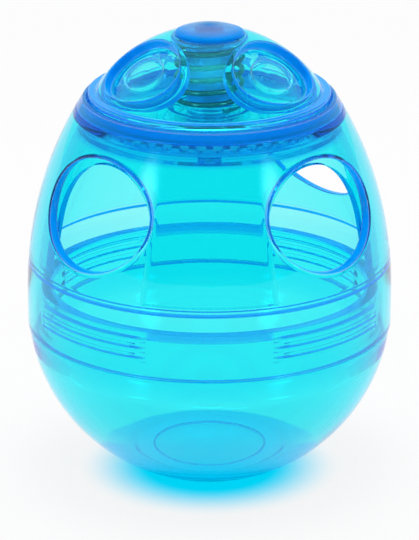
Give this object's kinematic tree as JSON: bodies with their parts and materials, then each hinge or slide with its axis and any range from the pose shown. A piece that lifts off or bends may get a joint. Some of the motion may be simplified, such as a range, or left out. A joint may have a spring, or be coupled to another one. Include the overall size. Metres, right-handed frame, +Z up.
{
  "type": "cat treat dispenser toy",
  "caption": "Egg-shaped see-through treat dispenser with oval side holes, a twist-apart lower bowl and a press-and-turn dome that swings a slotted shutter across the holes.",
  "frame": {"origin": "centre of the flat foot, on the surface it stands on", "axes": "+Z up along the egg's axis, +X and -Y through the two side holes that the picture shows in front, -X at the wall without a hole"},
  "size_m": [0.082, 0.082, 0.102],
  "materials": {
    "shell_blue": "clear polished blue plastic",
    "collar_blue": "clear polished blue plastic",
    "dome_blue": "clear polished blue plastic",
    "shutter_blue": "clear polished blue plastic",
    "spring_steel": "bright drawn wire",
    "screw_steel": "plain steel"
  },
  "bodies": {
    "base": {"lower_shell": "shell_blue"},
    "casing": {"upper_shell": "shell_blue", "collar_ring": "collar_blue"},
    "spring": {"return_spring": "spring_steel"},
    "adjuster": {"adjuster_dome": "dome_blue", "dome_button": "dome_blue", "retaining_screw": "screw_steel", "shutter": "shutter_blue"}
  },
  "joints": [
    {"name": "shell_twist", "type": "hinge", "parent": "base", "child": "casing", "pos_m": [0, 0, 0.033], "axis": [0, 0, 1], "range_deg": [0, 45]},
    {"name": "dome_press", "type": "slide", "parent": "casing", "child": "spring", "axis": [0, 0, -1], "range_m": [0, 0.0022], "stiffness_N_per_m": 600, "springref_m": -0.004, "deforming": ["return_spring"]},
    {"name": "shutter_turn", "type": "hinge", "parent": "spring", "child": "adjuster", "pos_m": [0, 0, 0.0806], "axis": [0, 0, 1], "range_deg": [0, 45]}
  ]
}
